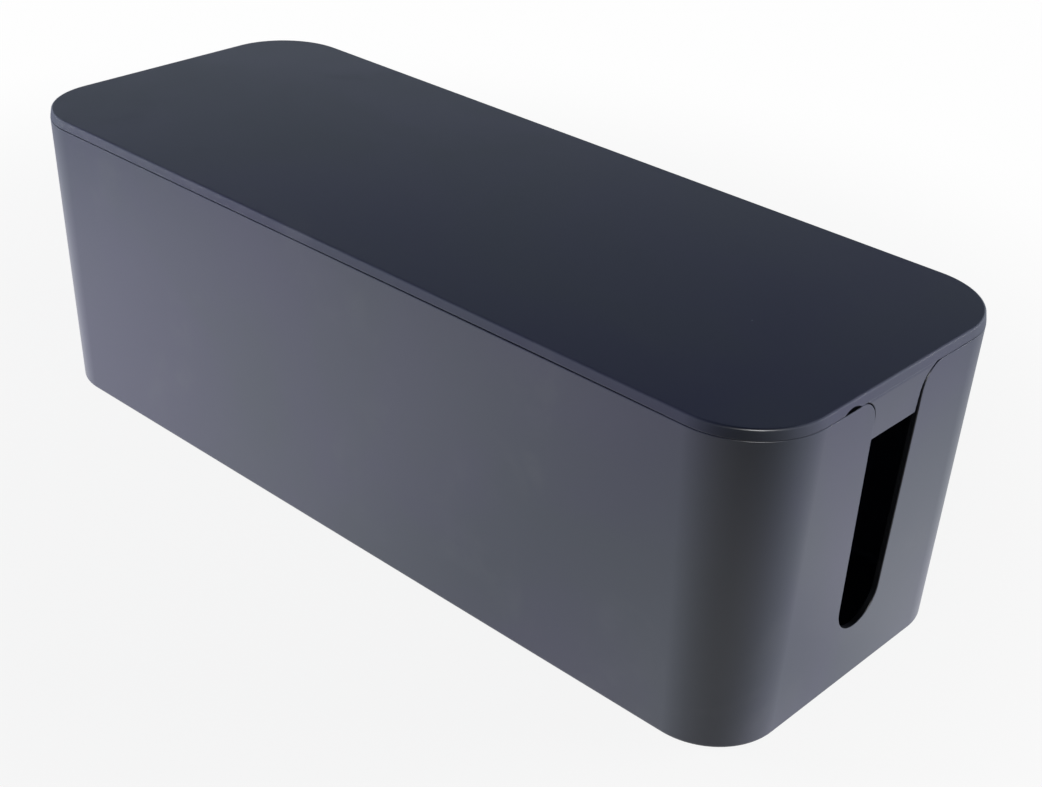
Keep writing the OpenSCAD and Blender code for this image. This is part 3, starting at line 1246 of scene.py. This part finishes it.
def studio_paper(studio):
    """Plain pale paper, which keeps the box's shadow and looks paler than it lights. A pool of
    it lights the box, and past the pool it lights less, as where a table ends. Mirror images
    show the pool with its shades and its glow, dark floor round it, and the backdrop."""
    material, tree, shader = new_material("studio_paper")
    here = place_coordinates(tree)
    from_pool = distance(tree, here, (studio.pool_x, 0.0, 0.0))
    past = ramp(tree, from_pool, studio.pool_r, POOL_FADE * studio.pool_r)
    lighting = mix_colour(tree, past, studio.floor, tinted(studio.floor, OUTER_TINT))
    tree.links.new(lighting, shader.inputs["Base Color"])
    shader.inputs["Roughness"].default_value = 0.9
    shader.inputs["Specular IOR Level"].default_value = 0.2

    rays = add_node(tree, "ShaderNodeLightPath").outputs
    from_box = add_node(tree, "ShaderNodeVectorMath", {0: here}, operation="LENGTH")
    far = ramp(tree, from_box.outputs["Value"], BACKDROP_FROM, PAPER_REACH)
    mirrored = multiply(tree, rays["Is Glossy Ray"], far)
    tint = mix_colour(tree, mirrored, WHITE, BACKDROP_TINT)
    glow = add_node(tree, "ShaderNodeEmission", {"Color": tint, "Strength": 1.0})

    near = remap(tree, past, *MIRRORED_LIGHT)
    for spot in SHADES:
        near = multiply(tree, near, spot_light(tree, here, spot, 1.0))
    near = maths(tree, "ADD", near, spot_light(tree, here, GLOW, 0.0))
    lit = maths(tree, "MAXIMUM", near, remap(tree, far, 0.0, BACKDROP_LIGHT))
    seen = multiply(tree, rays["Is Camera Ray"], remap(tree, past, *CAMERA_TONE))
    for kind in ("Is Glossy Ray", "Is Transmission Ray"):
        seen = maths(tree, "MAXIMUM", seen, multiply(tree, rays[kind], lit))
    mix = add_node(
        tree, "ShaderNodeMixShader", {0: seen, 1: shader.outputs[0], 2: glow.outputs[0]}
    )
    tree.links.new(mix.outputs[0], tree.nodes["Material Output"].inputs["Surface"])
    return material


def add_paper(studio):
    """Floor that turns up into a low backdrop all round."""
    section = [(PAPER_REACH, 0.0)]
    section += arc((PAPER_REACH, PAPER_BEND), PAPER_BEND, -math.pi / 2, 0.0)
    section.append((PAPER_REACH + PAPER_BEND, PAPER_HEIGHT))
    bm = bmesh.new()
    rings = revolve(bm, Vector((0.0, 0.0)), section, steps=PAPER_STEPS)
    bm.faces.new(rings[0])
    loft(bm, rings)
    for face in bm.faces:
        face.smooth = len(face.verts) == 4
    paper = to_object("studio_paper", bm)
    paper.data.materials.append(studio_paper(studio))


def light_room(studio):
    """Dim, even light above the backdrop."""
    world = bpy.data.worlds.new("studio_room")
    world.use_nodes = True
    world.node_tree.nodes["Background"].inputs["Color"].default_value = (*studio.room, 1.0)
    bpy.context.scene.world = world


def turn_towards(azimuth, elevation, roll=0.0):
    """Rotation of a lamp or camera that stands at azimuth and elevation and looks back, and
    the direction that it stands in."""
    back = Vector(
        (
            math.cos(azimuth) * math.cos(elevation),
            math.sin(azimuth) * math.cos(elevation),
            math.sin(elevation),
        )
    )
    right = Vector((-math.sin(azimuth), math.cos(azimuth), 0.0))
    up = back.cross(right)
    turn = Matrix((right, up, back)).transposed()
    return turn @ Matrix.Rotation(roll, 3, "Z"), back


def add_softbox(name, aim, stand, watts):
    """Rectangular lamp that faces the point it is aimed at."""
    data = bpy.data.lights.new(name, "AREA")
    data.shape = "RECTANGLE"
    data.size, data.size_y = stand.size
    data.energy = watts
    lamp = link_object(name, data)
    lamp.visible_camera = False
    turn, back = turn_towards(math.radians(stand.azimuth), math.radians(stand.elevation))
    lamp.matrix_world = Matrix.Translation(aim + back * stand.distance) @ turn.to_4x4()
    return lamp


def add_lamps(studio):
    """Two softboxes that light the walls and aren't mirrored in them, a faint one overhead,
    and a small one near the camera that only shows as a highlight."""
    low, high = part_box("tub")
    middle = (low + high) / 2
    left_end = Vector((low.x, low.y, middle.z))
    right_end = Vector((high.x, high.y, middle.z))
    left = add_softbox("softbox_left", left_end, LEFT_STAND, studio.left)
    right = add_softbox("softbox_right", right_end, RIGHT_STAND, studio.right)
    right.data.color = studio.warm
    for lamp in (left, right):
        lamp.visible_glossy = False
    add_softbox("softbox_top", middle, TOP_STAND, studio.top)
    front = add_softbox("softbox_front", middle, FRONT_STAND, studio.front)
    front.visible_diffuse = False


def add_camera(studio):
    """Camera that looks down on a corner of the box."""
    data = bpy.data.cameras.new("studio_camera")
    data.lens = studio.lens
    data.sensor_width = 36.0
    data.clip_start = 10 * MM
    camera = link_object("studio_camera", data)
    turn, _ = turn_towards(studio.azimuth, studio.elevation, studio.roll)
    camera.matrix_world = Matrix.Translation(CAMERA_PLACE) @ turn.to_4x4()
    bpy.context.scene.camera = camera


# ---------------------------------------------------------------------------
# Operators
# ---------------------------------------------------------------------------


class CABLEBOX_OT_tub(bpy.types.Operator):
    """Build the tub in satin plastic"""

    bl_idname = "cablebox.tub"
    bl_label = "Tub"

    def execute(self, context):
        settings = context.scene.cable_box
        finish = settings.finish
        build_groups()
        piece = build_tub(Form(settings))
        material = moulded_plastic("tub_plastic", finish, finish.tub_wear_and_highlight, finish.tub_specks)
        dress(piece, material, "tub", "tub")
        return {"FINISHED"}


class CABLEBOX_OT_lid(bpy.types.Operator):
    """Build the lift-off lid with its tabs, lip and ribs"""

    bl_idname = "cablebox.lid"
    bl_label = "Lid"

    def execute(self, context):
        settings = context.scene.cable_box
        finish = settings.finish
        build_groups()
        piece = build_lid(Form(settings))
        material = moulded_plastic("lid_plastic", finish, finish.lid_wear_and_highlight, finish.lid_specks)
        dress(piece, material, "lid", "lid")
        return {"FINISHED"}


class CABLEBOX_OT_feet(bpy.types.Operator):
    """Build the four rubber feet and finish their adhesive discs"""

    bl_idname = "cablebox.feet"
    bl_label = "Feet"

    def execute(self, context):
        settings = context.scene.cable_box
        build_groups()
        rubber = foot_rubber(settings.finish)
        foam = adhesive_foam(settings.finish)
        for node in foot_nodes():
            dress(build_foot(node, settings.foot), rubber, "tub", node)
            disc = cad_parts[node.replace("foot_", "tape_")]
            disc.data.materials.clear()
            disc.data.materials.append(foam)
        return {"FINISHED"}


class CABLEBOX_OT_studio(bpy.types.Operator):
    """Set up the floor, the lamps, the room light and the camera"""

    bl_idname = "cablebox.studio"
    bl_label = "Studio"

    def execute(self, context):
        studio = context.scene.cable_box.studio
        context.scene.view_settings.view_transform = "Standard"
        add_camera(studio)
        add_paper(studio)
        light_room(studio)
        add_lamps(studio)
        return {"FINISHED"}


class CABLEBOX_PT_builder(bpy.types.Panel):
    """Buttons that build the box piece by piece"""

    bl_label = "Cable Box"
    bl_idname = "CABLEBOX_PT_builder"
    bl_space_type = "VIEW_3D"
    bl_region_type = "UI"
    bl_category = "Cable Box"

    def draw(self, context):
        for operator in OPERATORS:
            self.layout.operator(operator.bl_idname)
        settings = context.scene.cable_box
        for group in (settings.tub, settings.lid, settings.foot, settings.finish, settings.studio):
            box = self.layout.box()
            for name in group.__annotations__:
                box.prop(group, name)


OPERATORS = (CABLEBOX_OT_tub, CABLEBOX_OT_lid, CABLEBOX_OT_feet, CABLEBOX_OT_studio)
CLASSES = (
    TubSizes,
    LidSizes,
    FootSizes,
    Finish,
    Studio,
    CableBox,
    *OPERATORS,
    CABLEBOX_PT_builder,
)


def register():
    for cls in CLASSES:
        bpy.utils.register_class(cls)
    bpy.types.Scene.cable_box = PointerProperty(type=CableBox)


def unregister():
    del bpy.types.Scene.cable_box
    for cls in reversed(CLASSES):
        bpy.utils.unregister_class(cls)


def main():
    register()
    bpy.ops.cablebox.tub()
    bpy.ops.cablebox.lid()
    bpy.ops.cablebox.feet()
    bpy.ops.cablebox.studio()


if __name__ == "__main__":
    main()
